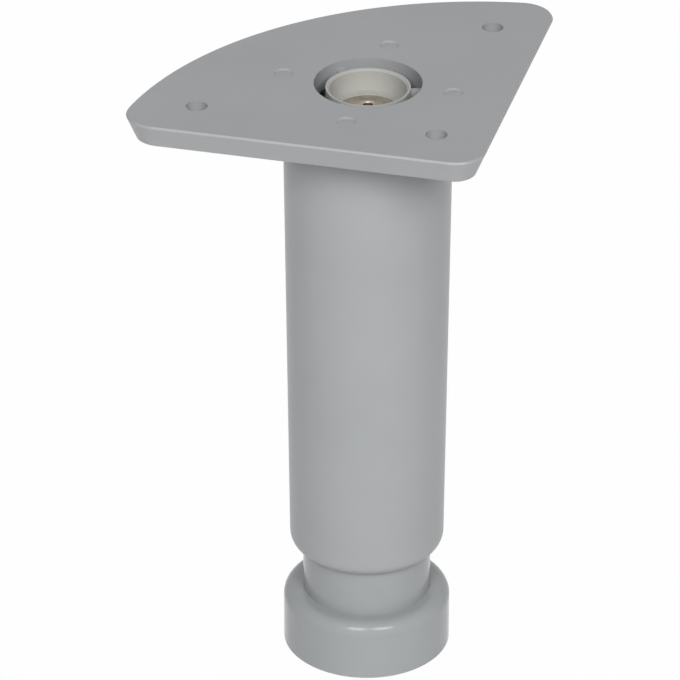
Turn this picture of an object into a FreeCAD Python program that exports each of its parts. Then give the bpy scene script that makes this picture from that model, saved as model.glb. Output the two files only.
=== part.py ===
import FreeCAD, Part
import math
import os

# Adjustable cabinet leg, millimetres, +Z up.
# The origin is on the leg's axis, at the underside of the foot.
# X and Y run along the two straight sides of the fixing plate.

# Heights and travel
leg_height = 150.0          # floor to the top of the plate
foot_height = 15.0          # base of the foot
neck_showing = 12.1         # neck seen between the base and the tube
travel_out = 20.0           # foot screwed out from the pose shown
travel_in = 11.0            # foot screwed in from the pose shown

# Fixing plate
side_offset = 34.05         # axis to each straight side
arc_centre_offset = 36.2    # axis to the centre of the curved side, in X and in -Y
arc_radius = 86.8           # curved side
corner_round = 7.2          # right-angled corner
end_round = 8.0             # two corners at the ends of the curved side
plate_height = 6.2          # rim of the plate
plate_skin = 3.2            # top wall of the plate
side_inset = 2.6            # slope of the sides, narrower below
rim_wall = 2.5              # rim left round the hollow underside
edge_chamfer = 0.5          # upper and lower edges of the plate
plate_rib = 2.2             # ribs under the plate
opening_diameter = 25.0     # centre opening
opening_depth = 5.5         # its wall, down to the bore
screw_spacing = 56.0        # from the corner hole along each straight side
screw_inset = 12.85         # straight side to the hole row
screw_hole_diameter = 5.0
screw_boss_diameter = 11.0
mark_count = 4              # shallow ejector marks over the tube wall
mark_diameter = 4.6
mark_circle_radius = 20.0
mark_depth = 0.4
mark_slope = 50.0           # degrees from upright, sides of the marks

# Tube
tube_diameter = 39.3        # just under the plate
tube_draft = 0.6            # degrees, narrower towards the foot
tube_end_round = 3.6
bore_clearance = 0.4        # radial, neck to bore

# Cup on ribs in the top of the tube
cup_diameter = 19.6
cup_wall = 0.9
cup_rim_drop = 1.1          # below the plate's top
cup_rim_chamfer = 0.45      # inside edge of the rim
ledge_drop = 6.6            # ledge round the washer, below the plate's top
cup_floor = 6.0
cup_skirt = 4.4             # below the cup's floor, round the spindle's collar
rib_width = 2.0
rib_count = 3
rib_angle = 135.0           # first rib, on the plate's diagonal
rib_top_drop = 2.0
rail_height = 2.5           # ribs carried on down the bore as guide rails
rail_lead = 2.0             # sloped lower end of each rail

# Spindle and washer
thread_diameter = 8.0
spindle_neck_diameter = 6.0
collar_diameter = 13.0
collar_height = 3.5
stub_diameter = 3.5
stub_height = 1.4           # above the washer
socket_flats = 1.5
socket_mouth = 2.8          # countersunk mouth of the socket
socket_depth = 6.0
spindle_tip_chamfer = 0.8
spindle_overrun = 3.0       # past the nut when the foot is right out
washer_diameter = 13.8
washer_height = 1.0
washer_sink = 0.2           # washer's top below the ledge

# Foot
foot_diameter = 40.0
foot_top_round = 3.0
foot_sole_chamfer = 0.4
neck_diameter = 30.6
neck_guide = 5.0            # neck left in the tube when the foot is right out
neck_lead = 1.0
foot_wall = 2.5
foot_skin = 2.8
stem_diameter = 17.0
stem_web = 2.0
key_flange_diameter = 30.2
key_flange_height = 6.5
rail_gap = 0.3              # flange notches and other loose fits
end_gap = 2.0               # left between neck and rails at the end of the travel
spindle_bore_gap = 0.6

# Nut
nut_flats = 13.0
nut_height = 6.5
nut_pocket_depth = 7.0
nut_pocket_gap = 0.05
running_gap = 0.08          # radial, turning and threaded fits

# Places worked out from the sizes above
axis = FreeCAD.Vector(0, 0, 1)
overlap = 0.5               # how far joined forms run into each other
side_slope = side_inset / plate_height
plate_under = leg_height - plate_height
skin_under = leg_height - plate_skin
opening_under = leg_height - opening_depth
tube_end = foot_height + neck_showing
tube_slope = math.tan(math.radians(tube_draft))
tube_end_radius = tube_diameter / 2 - tube_slope * (plate_under - tube_end)
bore_radius = neck_diameter / 2 + bore_clearance
cup_radius = cup_diameter / 2
cup_rim = leg_height - cup_rim_drop
ledge = leg_height - ledge_drop
washer_top = ledge - washer_sink
washer_seat = washer_top - washer_height
floor_under = washer_seat - cup_floor
cup_under = floor_under - cup_skirt
rib_top = leg_height - rib_top_drop
rib_step = 360 / rib_count
rib_angles = [rib_angle + rib_step * k for k in range(rib_count)]
web_angles = [angle + rib_step / 2 for angle in rib_angles]
rail_inner_radius = bore_radius - rail_height
neck_top = tube_end + travel_out + neck_guide
rail_end = neck_top + travel_in + end_gap
flange_under = rail_end + travel_out + rail_lead
stem_top = flange_under + key_flange_height
nut_seat = stem_top - nut_pocket_depth
spindle_end = nut_seat - travel_out - spindle_overrun
spindle_bore_end = spindle_end - travel_in - spindle_overrun
stub_top = washer_top + stub_height
screw_reach = side_offset - screw_inset
screw_places = [
    (screw_reach, -screw_reach),
    (screw_reach - screw_spacing, -screw_reach),
    (screw_reach, screw_spacing - screw_reach),
]


def point(x, y, z):
    return FreeCAD.Vector(x, y, z)


def cylinder(radius, low, high, x=0.0, y=0.0):
    return Part.makeCylinder(radius, high - low, point(x, y, low), axis)


def turned(outline):
    """Solid turned about the axis from (radius, height) points."""
    corners = [point(radius, 0, height) for radius, height in outline]
    face = Part.Face(Part.makePolygon(corners + corners[:1]))
    return face.revolve(point(0, 0, 0), axis, 360)


def hexagon(flats, low, high):
    corner = flats / math.sqrt(3)
    corners = [
        point(corner * math.cos(math.radians(60 * k)), corner * math.sin(math.radians(60 * k)), low)
        for k in range(6)
    ]
    face = Part.Face(Part.makePolygon(corners + corners[:1]))
    return face.extrude(point(0, 0, high - low))


def radial_web(width, inner, outer, low, high, angle):
    """Upright wall of the given width that runs out from the axis at an angle in degrees."""
    web = Part.makeBox(outer - inner, width, high - low, point(inner, -width / 2, low))
    web.rotate(point(0, 0, 0), axis, angle)
    return web


def circle_edges(shape, radius, height):
    """Round edges about the axis, of one radius and height."""
    rounds = [edge for edge in shape.Edges if edge.Curve.TypeId == "Part::GeomCircle"]
    at_height = [edge for edge in rounds if (edge.Curve.Center - point(0, 0, height)).Length < 1e-4]
    return [edge for edge in at_height if abs(edge.Curve.Radius - radius) < 1e-4]


def plate_outline(inset, height):
    """Quarter-round outline of the plate, moved in all round by an inset."""
    side = side_offset - inset
    curve_radius = arc_radius - inset
    corner = corner_round - inset
    end = end_round - inset
    centre = point(arc_centre_offset, -arc_centre_offset, height)
    end_x = side - end
    end_y = math.sqrt((curve_radius - end) ** 2 - (end_x - centre.x) ** 2) + centre.y
    turn = math.atan2(end_y - centre.y, end_x - centre.x)
    diagonal = math.radians(135)
    half = turn / 2

    def on_arc(cx, cy, radius, angle):
        return point(cx + radius * math.cos(angle), cy + radius * math.sin(angle), height)

    def mirrored(place):
        return point(-place.y, -place.x, height)

    corner_arc = [on_arc(side - corner, corner - side, corner, math.radians(a)) for a in (-90, -45, 0)]
    end_arc = [on_arc(end_x, end_y, end, angle) for angle in (0, half, turn)]
    far_arc = [mirrored(place) for place in reversed(end_arc)]
    crown = on_arc(centre.x, centre.y, curve_radius, diagonal)
    return Part.Wire([
        Part.Arc(*corner_arc).toShape(),
        Part.makeLine(corner_arc[2], end_arc[0]),
        Part.Arc(*end_arc).toShape(),
        Part.Arc(end_arc[2], crown, far_arc[0]).toShape(),
        Part.Arc(*far_arc).toShape(),
        Part.makeLine(far_arc[2], corner_arc[0]),
    ])


def plate_blank():
    """Solid plate with sloping sides and chamfered edges."""
    lower = plate_outline(side_inset, plate_under)
    upper = plate_outline(0.0, leg_height)
    blank = Part.makeLoft([lower, upper], True, True)
    rims = [edge for edge in blank.Edges if edge.BoundBox.ZLength < 1e-4]
    return blank.makeChamfer(edge_chamfer, rims)


def plate_hollow():
    """Hollow of the underside, less the tube, the screw bosses and the ribs between them."""
    skin_inset = side_slope * plate_skin + rim_wall
    foot_of_rim = plate_under - overlap
    outline = plate_outline(skin_inset, foot_of_rim)
    hollow = Part.Face(outline).extrude(point(0, 0, skin_under - foot_of_rim))
    kept = [cylinder(tube_diameter / 2, foot_of_rim, skin_under)]
    for x, y in screw_places:
        kept.append(cylinder(screw_boss_diameter / 2, foot_of_rim, skin_under, x, y))
    hole_angles = [math.degrees(math.atan2(y, x)) % 360 for x, y in screw_places]
    main_angles = sorted(hole_angles + [135.0])
    for first, second in zip(main_angles, main_angles[1:] + [main_angles[0] + 360]):
        for angle in (first, (first + second) / 2):
            kept.append(radial_web(plate_rib, 0, arc_radius, foot_of_rim, skin_under, angle))
    return hollow.cut(kept[0].multiFuse(kept[1:]))


def tube_profile():
    """Half section of the tube's outside, with the rounded end that turns in to the bore."""
    top_radius = tube_diameter / 2 + tube_slope * (skin_under - plate_under)
    turn_in = min(tube_end_radius - bore_radius, tube_end_round)
    centre_radius = tube_end_radius - tube_end_round
    fall = math.sqrt(tube_end_round ** 2 - (tube_end_round - turn_in) ** 2)
    round_start = tube_end + fall
    full_turn = math.acos((tube_end_round - turn_in) / tube_end_round)
    middle = point(
        centre_radius + tube_end_round * math.cos(full_turn / 2), 0,
        round_start - tube_end_round * math.sin(full_turn / 2))
    start = point(tube_end_radius, 0, round_start)
    finish = point(tube_end_radius - turn_in, 0, tube_end)
    top = point(top_radius, 0, skin_under + overlap)
    on_axis_top = point(0, 0, skin_under + overlap)
    on_axis_end = point(0, 0, tube_end)
    return Part.Wire([
        Part.makeLine(on_axis_top, top),
        Part.LineSegment(top, start).toBSpline().toShape(),
        Part.Arc(start, middle, finish).toShape(),
        Part.makeLine(finish, on_axis_end),
        Part.makeLine(on_axis_end, on_axis_top),
    ])


def cup():
    """Thin cup with a stepped floor, open below round the spindle's collar."""
    inner = cup_radius - cup_wall
    pocket = washer_diameter / 2 + rail_gap / 2
    skirt = collar_diameter / 2 + end_gap / 2
    neck_hole = spindle_neck_diameter / 2 + running_gap
    return turned([
        (neck_hole, floor_under), (skirt, floor_under), (skirt, cup_under), (cup_radius, cup_under),
        (cup_radius, cup_rim), (inner + cup_rim_chamfer, cup_rim), (inner, cup_rim - cup_rim_chamfer),
        (inner, ledge), (pocket, ledge), (pocket, washer_seat), (neck_hole, washer_seat),
    ])


def rib_and_rail(angle):
    """Rib that carries the cup, carried on down the bore as a guide rail with a sloped end."""
    outer = bore_radius + overlap
    inner = cup_radius - cup_wall / 2
    side = [
        (inner, cup_under), (inner, rib_top), (opening_diameter / 2 + overlap, rib_top),
        (outer, skin_under), (outer, rail_end), (bore_radius, rail_end),
        (rail_inner_radius, rail_end + rail_lead), (rail_inner_radius, cup_under),
    ]
    corners = [point(radius, -rib_width / 2, height) for radius, height in side]
    web = Part.Face(Part.makePolygon(corners + corners[:1])).extrude(point(0, rib_width, 0))
    web.rotate(point(0, 0, 0), axis, angle)
    return web


def leg_body():
    plate = plate_blank().cut(plate_hollow())
    tube = Part.Face(tube_profile()).revolve(point(0, 0, 0), axis, 360)
    body = plate.fuse(tube)
    body = body.cut(cylinder(bore_radius, tube_end - overlap, opening_under))
    body = body.cut(cylinder(opening_diameter / 2, opening_under - overlap, leg_height + overlap))
    for x, y in screw_places:
        hole = cylinder(screw_hole_diameter / 2, plate_under - overlap, leg_height + overlap, x, y)
        body = body.cut(hole)
    mark_radius = mark_diameter / 2
    mark_floor_radius = mark_radius - mark_depth * math.tan(math.radians(mark_slope))
    for k in range(mark_count):
        angle = math.radians(360 / mark_count * k)
        x = mark_circle_radius * math.cos(angle)
        y = mark_circle_radius * math.sin(angle)
        mark_place = point(x, y, leg_height - mark_depth)
        body = body.cut(Part.makeCone(mark_floor_radius, mark_radius, mark_depth, mark_place, axis))
    ribs = [rib_and_rail(angle) for angle in rib_angles]
    return body.multiFuse([cup()] + ribs).removeSplitter()


def spindle():
    """Captive adjusting spindle with a collar under the cup's floor and a hollow end above it."""
    thread = thread_diameter / 2
    neck = spindle_neck_diameter / 2
    stub = stub_diameter / 2
    body = turned([
        (0, spindle_end), (thread - spindle_tip_chamfer, spindle_end),
        (thread, spindle_end + spindle_tip_chamfer), (thread, floor_under - collar_height),
        (collar_diameter / 2, floor_under - collar_height), (collar_diameter / 2, floor_under),
        (neck, floor_under), (neck, washer_seat), (stub, washer_seat), (stub, stub_top), (0, stub_top),
    ])
    mouth = socket_mouth / 2
    countersink = turned([(0, stub_top - mouth), (mouth, stub_top), (0, stub_top)])
    socket = hexagon(socket_flats, stub_top - socket_depth, stub_top + overlap)
    return body.cut(socket.fuse(countersink))


def head_washer():
    """Washer fixed on the spindle's end, which keeps the spindle from dropping out of the cup."""
    outer = washer_diameter / 2
    inner = stub_diameter / 2
    return turned([(inner, washer_seat), (outer, washer_seat), (outer, washer_top), (inner, washer_top)])


def foot():
    """Foot with a plain neck, hollow from below, and a webbed stem with a keyed flange on top."""
    base = foot_diameter / 2
    neck = neck_diameter / 2
    stem = stem_diameter / 2
    flange = key_flange_diameter / 2
    body = turned([
        (0, 0), (base - foot_sole_chamfer, 0), (base, foot_sole_chamfer), (base, foot_height),
        (neck, foot_height), (neck, neck_top - neck_lead), (neck - neck_lead, neck_top),
        (stem, neck_top), (stem, flange_under), (flange, flange_under), (flange, stem_top), (0, stem_top),
    ])
    shoulder_round = min(foot_top_round, 0.9 * (base - neck))
    body = body.makeFillet(shoulder_round, circle_edges(body, base, foot_height))
    hollow = turned([
        (stem, 0), (base - foot_wall, 0), (base - foot_wall, foot_height - foot_skin),
        (neck - foot_wall, foot_height - foot_skin), (neck - foot_wall, neck_top - foot_skin),
        (stem, neck_top - foot_skin),
    ])
    inner = stem / 2
    webs = [radial_web(stem_web, inner, base, 0, neck_top, angle) for angle in web_angles]
    body = body.cut(hollow.cut(webs[0].multiFuse(webs[1:])))
    web_reach = neck - foot_wall
    fins = [
        radial_web(stem_web, inner, web_reach, neck_top - overlap, flange_under + overlap, angle)
        for angle in web_angles
    ]
    body = body.multiFuse(fins)
    notch = rib_width + 2 * rail_gap
    low = flange_under - overlap
    high = stem_top + overlap
    for angle in rib_angles:
        body = body.cut(radial_web(notch, rail_inner_radius - rail_gap, base, low, high, angle))
    spindle_bore = thread_diameter / 2 + spindle_bore_gap
    body = body.cut(cylinder(spindle_bore, spindle_bore_end, stem_top + overlap))
    pocket = hexagon(nut_flats + 2 * nut_pocket_gap, nut_seat, stem_top + overlap)
    return body.cut(pocket).removeSplitter()


def foot_nut():
    """Hexagon nut on the spindle's thread."""
    top = nut_seat + nut_height
    thread_bore = cylinder(thread_diameter / 2 + running_gap, nut_seat - overlap, top + overlap)
    return hexagon(nut_flats, nut_seat, top).cut(thread_bore)


os.makedirs("parts", exist_ok=True)
pieces = {
    "leg_body": leg_body(),
    "spindle": spindle(),
    "head_washer": head_washer(),
    "foot": foot(),
    "foot_nut": foot_nut(),
}
for name, shape in pieces.items():
    solid = shape.Solids[0] if len(shape.Solids) == 1 else shape
    solid.exportStep("parts/" + name + ".step")
    box = solid.BoundBox
    print(name, len(shape.Solids), "solid", "valid", solid.isValid(), "volume", round(solid.Volume, 1),
          "z", round(box.ZMin, 2), round(box.ZMax, 2))
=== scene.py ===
import bpy
import numpy as np
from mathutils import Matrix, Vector


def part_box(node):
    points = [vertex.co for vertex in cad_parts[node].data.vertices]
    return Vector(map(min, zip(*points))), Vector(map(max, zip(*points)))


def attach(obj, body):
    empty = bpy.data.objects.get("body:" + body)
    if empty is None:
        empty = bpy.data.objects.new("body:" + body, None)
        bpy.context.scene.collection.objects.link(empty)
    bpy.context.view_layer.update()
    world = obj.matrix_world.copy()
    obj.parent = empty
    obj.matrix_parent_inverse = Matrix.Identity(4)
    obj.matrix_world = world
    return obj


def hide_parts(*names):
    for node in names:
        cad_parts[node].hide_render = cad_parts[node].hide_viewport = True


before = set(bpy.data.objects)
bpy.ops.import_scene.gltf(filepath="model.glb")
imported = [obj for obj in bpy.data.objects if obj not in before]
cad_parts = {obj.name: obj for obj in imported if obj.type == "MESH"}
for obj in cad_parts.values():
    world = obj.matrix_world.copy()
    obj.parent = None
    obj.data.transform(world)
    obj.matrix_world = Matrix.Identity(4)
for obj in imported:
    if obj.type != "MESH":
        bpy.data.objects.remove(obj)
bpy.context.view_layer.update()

print("frame loaded:", len(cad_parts), "nodes")


# nodes that several effects and materials use

def setOrLink(tree, socket, value):
    if isinstance(value, (int, float)):
        socket.default_value = value
    else:
        tree.links.new(value, socket)


def mathNode(tree, operation, first, second=0.0):
    node = tree.nodes.new("ShaderNodeMath")
    node.operation = operation
    setOrLink(tree, node.inputs[0], first)
    setOrLink(tree, node.inputs[1], second)
    return node.outputs[0]


def noiseNode(tree, vector, scale, detail, roughness):
    node = tree.nodes.new("ShaderNodeTexNoise")
    tree.links.new(vector, node.inputs["Vector"])
    setOrLink(tree, node.inputs["Scale"], scale)
    node.inputs["Detail"].default_value = detail
    node.inputs["Roughness"].default_value = roughness
    return node.outputs["Fac"]


def stepNode(tree, value, start, end):
    node = tree.nodes.new("ShaderNodeMapRange")
    node.interpolation_type = "SMOOTHSTEP"
    tree.links.new(value, node.inputs["Value"])
    node.inputs["From Min"].default_value = start
    node.inputs["From Max"].default_value = end
    return node.outputs["Result"]


def rampNode(tree, factor, positions, colours):
    ramp = tree.nodes.new("ShaderNodeValToRGB")
    tree.links.new(factor, ramp.inputs["Fac"])
    elements = ramp.color_ramp.elements
    for index, (position, colour) in enumerate(zip(positions, colours)):
        element = elements[index] if index < 2 else elements.new(position)     # a new ramp has two
        element.position = position
        element.color = (*colour, 1.0)
    return ramp.outputs["Color"]


# shared surface effects, as shader node groups

def newGroup(name, inputs, outputs):
    group = bpy.data.node_groups.new(name, "ShaderNodeTree")
    group.interface.new_socket("Vector", in_out="INPUT", socket_type="NodeSocketVector")
    for socketName in inputs:
        group.interface.new_socket(socketName, in_out="INPUT", socket_type="NodeSocketFloat")
    for socketName in outputs:
        group.interface.new_socket(socketName, in_out="OUTPUT", socket_type="NodeSocketFloat")
    inNode = group.nodes.new("NodeGroupInput")
    outNode = group.nodes.new("NodeGroupOutput")
    return group, inNode, outNode


def groupNode(tree, group, place):
    node = tree.nodes.new("ShaderNodeGroup")
    node.node_tree = group
    tree.links.new(place, node.inputs["Vector"])
    return node


# fine spark-eroded mould grain over slow cloudy shading, as moulded plastic shows it
mouldNoise = {
    "grainDetail": 2.0, "grainRoughness": 0.55,
    "cloudDetail": 3.0, "cloudRoughness": 0.5, "cloudStops": (0.3, 0.7),
}


def makeMouldGrain(noise):
    group, inNode, outNode = newGroup("mouldGrain", ["Grain Scale", "Cloud Scale"], ["Cloud", "Grain"])
    vector = inNode.outputs["Vector"]
    grainScale, cloudScale = inNode.outputs["Grain Scale"], inNode.outputs["Cloud Scale"]
    grain = noiseNode(group, vector, grainScale, noise["grainDetail"], noise["grainRoughness"])
    cloud = noiseNode(group, vector, cloudScale, noise["cloudDetail"], noise["cloudRoughness"])
    group.links.new(cloud, outNode.inputs["Cloud"])
    group.links.new(grain, outNode.inputs["Grain"])
    return group


# 1 within the cup's radius of the leg's axis and above a height, 0 elsewhere
cupTone = {"radius": 0.00982, "low": 0.138, "blend": 0.00004}


def makeCoreMask(tone):
    group, inNode, outNode = newGroup("coreMask", [], ["Mask"])
    split = group.nodes.new("ShaderNodeSeparateXYZ")
    group.links.new(inNode.outputs["Vector"], split.inputs["Vector"])
    across = mathNode(group, "MULTIPLY", split.outputs["X"], split.outputs["X"])
    along = mathNode(group, "MULTIPLY", split.outputs["Y"], split.outputs["Y"])
    radius = mathNode(group, "SQRT", mathNode(group, "ADD", across, along))
    outside = stepNode(group, radius, tone["radius"], tone["radius"] + tone["blend"])
    inside = mathNode(group, "SUBTRACT", 1.0, outside)
    above = stepNode(group, split.outputs["Z"], tone["low"], tone["low"] + tone["blend"])
    group.links.new(mathNode(group, "MULTIPLY", inside, above), outNode.inputs["Mask"])
    return group


mouldGrain = makeMouldGrain(mouldNoise)
coreMask = makeCoreMask(cupTone)
print("shared effects ready")


# materials

def newMaterial(name):
    material = bpy.data.materials.new(name)
    material.use_nodes = True
    tree = material.node_tree
    tree.nodes.clear()
    shader = tree.nodes.new("ShaderNodeBsdfPrincipled")
    output = tree.nodes.new("ShaderNodeOutputMaterial")
    tree.links.new(shader.outputs["BSDF"], output.inputs["Surface"])
    return material, tree, shader


def objectPlace(tree):
    return tree.nodes.new("ShaderNodeTexCoord").outputs["Object"]


# grain varies the roughness and stands up a little as bump
def addGrain(tree, shader, grain, look):
    spread = mathNode(tree, "MULTIPLY", grain, look["roughSpread"])
    tree.links.new(mathNode(tree, "ADD", spread, look["rough"]), shader.inputs["Roughness"])
    bump = tree.nodes.new("ShaderNodeBump")
    bump.inputs["Strength"].default_value = look["bump"]
    bump.inputs["Distance"].default_value = look["grainDepth"]
    tree.links.new(grain, bump.inputs["Height"])
    tree.links.new(bump.outputs["Normal"], shader.inputs["Normal"])


def greyPlastic(look):
    material, tree, shader = newMaterial(look["name"])
    place = objectPlace(tree)
    mould = groupNode(tree, mouldGrain, place)
    mould.inputs["Grain Scale"].default_value = look["grainScale"]
    mould.inputs["Cloud Scale"].default_value = look["cloudScale"]
    tones = (look["darker"], look["lighter"])
    colour = rampNode(tree, mould.outputs["Cloud"], mouldNoise["cloudStops"], tones)
    if "core" in look:
        mix = tree.nodes.new("ShaderNodeMix")
        mix.data_type = "RGBA"
        tree.links.new(groupNode(tree, coreMask, place).outputs["Mask"], mix.inputs["Factor"])
        tree.links.new(colour, mix.inputs["A"])
        mix.inputs["B"].default_value = (*look["core"], 1.0)
        colour = mix.outputs["Result"]
    tree.links.new(colour, shader.inputs["Base Color"])
    addGrain(tree, shader, mould.outputs["Grain"], look)
    shader.inputs["Specular IOR Level"].default_value = look["specular"]
    return material


bodyPlastic = greyPlastic({
    "name": "greyPlastic", "grainScale": 2600.0, "cloudScale": 38.0,
    "darker": (0.361, 0.372, 0.38), "lighter": (0.385, 0.396, 0.404), "core": (0.455, 0.458, 0.432),
    "rough": 0.27, "roughSpread": 0.14, "specular": 0.28, "bump": 0.3, "grainDepth": 0.00002,
})
footPlastic = greyPlastic({
    "name": "greyPlasticFoot", "grainScale": 2600.0, "cloudScale": 52.0,
    "darker": (0.335, 0.348, 0.355), "lighter": (0.357, 0.371, 0.378),
    "rough": 0.12, "roughSpread": 0.09, "specular": 0.28, "bump": 0.2, "grainDepth": 0.00002,
})

zincNoise = {"tintDetail": 3.0, "grainDetail": 2.0, "roughness": 0.6, "tintStops": (0.3, 0.55, 0.75)}


def yellowZinc(look):
    material, tree, shader = newMaterial(look["name"])
    place = objectPlace(tree)
    tint = noiseNode(tree, place, look["tintScale"], zincNoise["tintDetail"], zincNoise["roughness"])
    tones = (look["brown"], look["gold"], look["pale"])
    tree.links.new(rampNode(tree, tint, zincNoise["tintStops"], tones), shader.inputs["Base Color"])
    grain = noiseNode(tree, place, look["grainScale"], zincNoise["grainDetail"], zincNoise["roughness"])
    addGrain(tree, shader, grain, look)
    shader.inputs["Metallic"].default_value = 1.0
    return material


zincSteel = yellowZinc({
    "name": "yellowZincSteel", "tintScale": 420.0, "grainScale": 3800.0,
    "brown": (0.41, 0.35, 0.285), "gold": (0.51, 0.452, 0.38), "pale": (0.6, 0.552, 0.488),
    "rough": 0.34, "roughSpread": 0.16, "bump": 0.25, "grainDepth": 0.00002,
})
washerZinc = yellowZinc({
    "name": "yellowZincWasher", "tintScale": 300.0, "grainScale": 3800.0,
    "brown": (0.335, 0.288, 0.232), "gold": (0.455, 0.402, 0.34), "pale": (0.575, 0.528, 0.47),
    "rough": 0.26, "roughSpread": 0.2, "bump": 0.25, "grainDepth": 0.00002,
})

nodeFinish = {"leg_body": bodyPlastic, "foot": footPlastic, "head_washer": washerZinc}
for nodeName, material in nodeFinish.items():
    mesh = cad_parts[nodeName].data
    mesh.materials.clear()
    mesh.materials.append(material)
print("materials set on", len(nodeFinish), "nodes")


# new pieces, made of rings of points round the leg's axis

# quads between neighbouring rings of points; the last ring joins the first where the form is a ring
# itself, and otherwise a flat face goes over the first and the last ring
def ringFaces(rings, around, closed):
    first = np.arange(rings if closed else rings - 1)[:, None] * around
    here = first + np.arange(around)
    beside = first + (np.arange(around) + 1) % around
    quads = np.stack([here, here + around, beside + around, beside], axis=-1).reshape(-1, 4)
    quads = (quads % (rings * around)).tolist()
    if closed:
        return quads
    lastRing = np.arange((rings - 1) * around, rings * around)[::-1]
    return quads + [list(range(around)), lastRing.tolist()]


# grid of points from the radius and height of each ring: a number, an array round the ring, or an
# array of several rings
def ringGrid(turn, rings):
    spread = [np.broadcast_arrays(radius, height, turn) for radius, height in rings]
    radius = np.vstack([part[0] for part in spread])
    height = np.vstack([part[1] for part in spread])
    return np.stack([radius * np.cos(turn), radius * np.sin(turn), height], axis=-1)


sharpAngle = 30.0                              # degrees, edges that turn by more stay sharp


def newPiece(name, grid, closed, material, body):
    mesh = bpy.data.meshes.new(name)
    mesh.from_pydata(grid.reshape(-1, 3).tolist(), [], ringFaces(*grid.shape[:2], closed))
    mesh.shade_smooth()
    mesh.set_sharp_from_angle(angle=np.radians(sharpAngle))
    mesh.materials.append(material)
    piece = bpy.data.objects.new(name, mesh)
    bpy.context.scene.collection.objects.link(piece)
    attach(piece, body)
    return piece


def fullTurn(around):
    return np.linspace(0.0, 2 * np.pi, around, endpoint=False)


# distance from a hexagon's middle to its sides: half its flats over the cosine of the angle off a flat
def hexagonRadius(flats, turn):
    return flats / 2 / np.cos(np.mod(turn, np.pi / 3) - np.pi / 6)


# thread shared by spindle and nut: a flat-topped wave of (height / pitch - turns), 1 in the groove
# crest and root are the shares of the pitch that are flat
threadForm = {"shank": 0.004, "pitch": 0.00125, "depth": 0.00068, "crest": 0.125, "root": 0.25}


def threadWave(turn, height):
    phase = np.mod(height / threadForm["pitch"] - turn / (2 * np.pi), 1.0)
    offGroove = np.abs(2 * phase - 1)
    flank = 1 - threadForm["crest"] - threadForm["root"]
    return np.clip((1 - threadForm["crest"] - offGroove) / flank, 0.0, 1.0)


# spindle: rings from the floor of its socket, out over the end and down the shank to the tip
# on the shank, radius = shank less depth times the thread's wave, inside the tip's cone
spindleForm = {
    "stub": 0.00175, "stubHeight": 0.0024, "stubChamfer": 0.00012,
    "mouth": 0.0011, "mouthDepth": 0.002, "lip": 0.0005, "lipSteps": 9,
    "socketFlats": 0.0015, "socketDepth": 0.006,
    "neck": 0.003, "neckHeight": 0.006, "collar": 0.0065, "collarHeight": 0.0035,
    "tipChamfer": 0.0008, "runOut": 0.0025, "around": 72, "perPitch": 12,
}


def spindleGrid(form):
    low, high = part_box("spindle")
    top, tip = high[2], low[2]
    seat = top - form["stubHeight"]
    under = seat - form["neckHeight"]
    shankTop = under - form["collarHeight"]
    turn = fullTurn(form["around"])
    socket = hexagonRadius(form["socketFlats"], turn)
    shank = threadForm["shank"]
    mouthFloor = top - form["mouthDepth"]
    lip = np.linspace(0.0, np.pi / 2, form["lipSteps"])      # quarter round at the edge of the mouth
    lipRadius = form["mouth"] + form["lip"] * (1 - np.cos(lip))
    lipHeight = top - form["lip"] * (1 - np.sin(lip))
    plain = [
        (socket, top - form["socketDepth"]), (socket, mouthFloor), (form["mouth"], mouthFloor),
        *zip(lipRadius, lipHeight),
        (form["stub"] - form["stubChamfer"], top), (form["stub"], top - form["stubChamfer"]),
        (form["stub"], seat), (form["neck"], seat), (form["neck"], under),
        (form["collar"], under), (form["collar"], shankTop), (shank, shankTop),
    ]
    steps = round((shankTop - tip) / threadForm["pitch"] * form["perPitch"])
    height = np.linspace(shankTop, tip, steps + 1)[1:, None]
    fade = np.clip((shankTop - height) / form["runOut"], 0.0, 1.0)
    tipCone = shank - form["tipChamfer"] + height - tip
    threaded = np.minimum(shank - threadForm["depth"] * threadWave(turn, height) * fade, tipCone)
    return ringGrid(turn, plain + [(threaded, height)])


spindlePiece = newPiece(
    "threadedSpindle", spindleGrid(spindleForm), False, zincSteel, "spindle")
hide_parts("spindle")
print("spindle threaded:", len(spindlePiece.data.vertices), "points")


# nut: rings up the threaded bore, out over the top, down the hexagon and back under to the bore
# the bore is the thread's wave with play, and a cone takes the corners off the hexagon's ends
nutForm = {
    "flats": 0.013, "crown": 0.0063, "crownSlope": 30.0, "mouth": 0.0043, "play": 0.00008,
    "around": 72, "perPitch": 24,
}


def nutGrid(form):
    low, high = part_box("foot_nut")
    base, top = low[2], high[2]
    turn = fullTurn(form["around"])
    steps = round((top - base) / threadForm["pitch"] * form["perPitch"])
    height = np.linspace(base, top, steps + 1)[:, None]
    bore = threadForm["shank"] + form["play"] - threadForm["depth"] * threadWave(turn, height)
    countersink = form["mouth"] - np.minimum(height - base, top - height)
    hexagon = hexagonRadius(form["flats"], turn)
    drop = np.tan(np.radians(form["crownSlope"])) * (hexagon - form["crown"])
    return ringGrid(turn, [
        (np.maximum(bore, countersink), height), (form["crown"], top), (hexagon, top - drop),
        (hexagon, base + drop), (form["crown"], base),
    ])


nutPiece = newPiece("crownedNut", nutGrid(nutForm), True, zincSteel, "foot")
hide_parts("foot_nut")
print("nut threaded:", len(nutPiece.data.vertices), "points")


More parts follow.
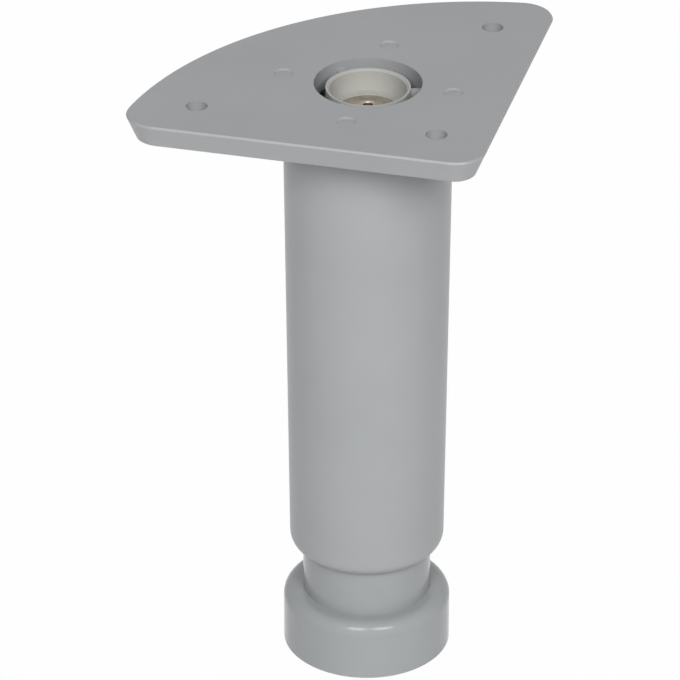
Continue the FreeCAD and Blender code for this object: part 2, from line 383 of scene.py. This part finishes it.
# studio: white floor and world, two soft front lights either side of the camera, a low fill behind
studio = {
    "floorSize": 3.0, "floorColour": (0.9, 0.9, 0.9), "floorRough": 0.9, "floorLift": 0.98,
    "floorLevel": -0.0205,                       # under the foot when it is right out
    "worldColour": (1.0, 1.0, 1.0), "ambient": 0.17,
    "keyAzimuths": (-91.0, -52.0), "keyElevation": 36.9, "keyPower": 51.2,
    "fillAzimuth": 108.5, "fillElevation": 7.0, "fillPower": 38.0,
    "lightDistance": 3.4, "lightSize": 1.45, "aim": (0.0, 0.0, 0.09),
}


# 1 for rays that show a background: seen by the camera, in a reflection or through something clear
def backgroundRays(tree):
    rays = tree.nodes.new("ShaderNodeLightPath")
    seen = mathNode(tree, "MAXIMUM", rays.outputs["Is Camera Ray"], rays.outputs["Is Glossy Ray"])
    return mathNode(tree, "MAXIMUM", seen, rays.outputs["Is Transmission Ray"])


def mixShaders(tree, factor, first, second, output):
    mix = tree.nodes.new("ShaderNodeMixShader")
    tree.links.new(factor, mix.inputs["Fac"])
    tree.links.new(first, mix.inputs[1])
    tree.links.new(second, mix.inputs[2])
    tree.links.new(mix.outputs["Shader"], output.inputs["Surface"])


def whiteFloor():
    half, level = studio["floorSize"] / 2, studio["floorLevel"]
    corners = [(x, y, level) for x, y in ((-half, -half), (half, -half), (half, half), (-half, half))]
    mesh = bpy.data.meshes.new("floor")
    mesh.from_pydata(corners, [], [(0, 1, 2, 3)])
    floor = bpy.data.objects.new("floor", mesh)
    bpy.context.scene.collection.objects.link(floor)
    material, tree, shader = newMaterial("floorWhite")
    shader.inputs["Base Color"].default_value = (*studio["floorColour"], 1.0)
    shader.inputs["Roughness"].default_value = studio["floorRough"]
    glow = tree.nodes.new("ShaderNodeEmission")
    lift = mathNode(tree, "MULTIPLY", backgroundRays(tree), studio["floorLift"])
    output = tree.nodes["Material Output"]
    mixShaders(tree, lift, shader.outputs["BSDF"], glow.outputs["Emission"], output)
    mesh.materials.append(material)


def worldLight(tree, strength):
    light = tree.nodes.new("ShaderNodeBackground")
    light.inputs["Color"].default_value = (*studio["worldColour"], 1.0)
    light.inputs["Strength"].default_value = strength
    return light.outputs["Background"]


def whiteWorld():
    world = bpy.data.worlds.new("studioWorld")
    bpy.context.scene.world = world
    world.use_nodes = True
    tree = world.node_tree
    tree.nodes.clear()
    output = tree.nodes.new("ShaderNodeOutputWorld")
    soft = worldLight(tree, studio["ambient"])
    bright = worldLight(tree, 1.0)                           # white where it is seen
    mixShaders(tree, backgroundRays(tree), soft, bright, output)


def aimObject(thing, place, target):
    thing.location = place
    thing.rotation_mode = "QUATERNION"
    thing.rotation_quaternion = (Vector(target) - Vector(place)).to_track_quat("-Z", "Y")
    bpy.context.scene.collection.objects.link(thing)


def softLight(name, azimuth, elevation, power):
    lamp = bpy.data.lights.new(name, "AREA")
    lamp.shape = "DISK"
    lamp.size = studio["lightSize"]
    lamp.energy = power
    turn, rise = np.radians(azimuth), np.radians(elevation)
    toLight = Vector((np.cos(rise) * np.cos(turn), np.cos(rise) * np.sin(turn), np.sin(rise)))
    light = bpy.data.objects.new(name, lamp)
    aimObject(light, Vector(studio["aim"]) + studio["lightDistance"] * toLight, studio["aim"])
    return light


whiteFloor()
whiteWorld()
for number, azimuth in enumerate(studio["keyAzimuths"]):
    softLight("keyLight" + str(number), azimuth, studio["keyElevation"], studio["keyPower"])
fill = softLight("fillLight", studio["fillAzimuth"], studio["fillElevation"], studio["fillPower"])
fill.visible_glossy = False                    # the fill leaves no bright rim on the tube
print("studio ready")


# camera: long lens from the front right, as the photograph was taken
photoCamera = {
    "place": (0.26095, -1.03771, 0.6928), "aim": (-0.00665, -0.00001, 0.0812),
    "lens": 277.2, "sensor": 36.0, "clip": (0.01, 20.0),
}


def addCamera(values):
    data = bpy.data.cameras.new("photoCamera")
    data.lens = values["lens"]
    data.sensor_width = values["sensor"]
    data.clip_start, data.clip_end = values["clip"]
    camera = bpy.data.objects.new("photoCamera", data)
    aimObject(camera, values["place"], values["aim"])
    bpy.context.scene.camera = camera


addCamera(photoCamera)
bpy.context.scene.view_settings.view_transform = "Standard"
print("camera set")
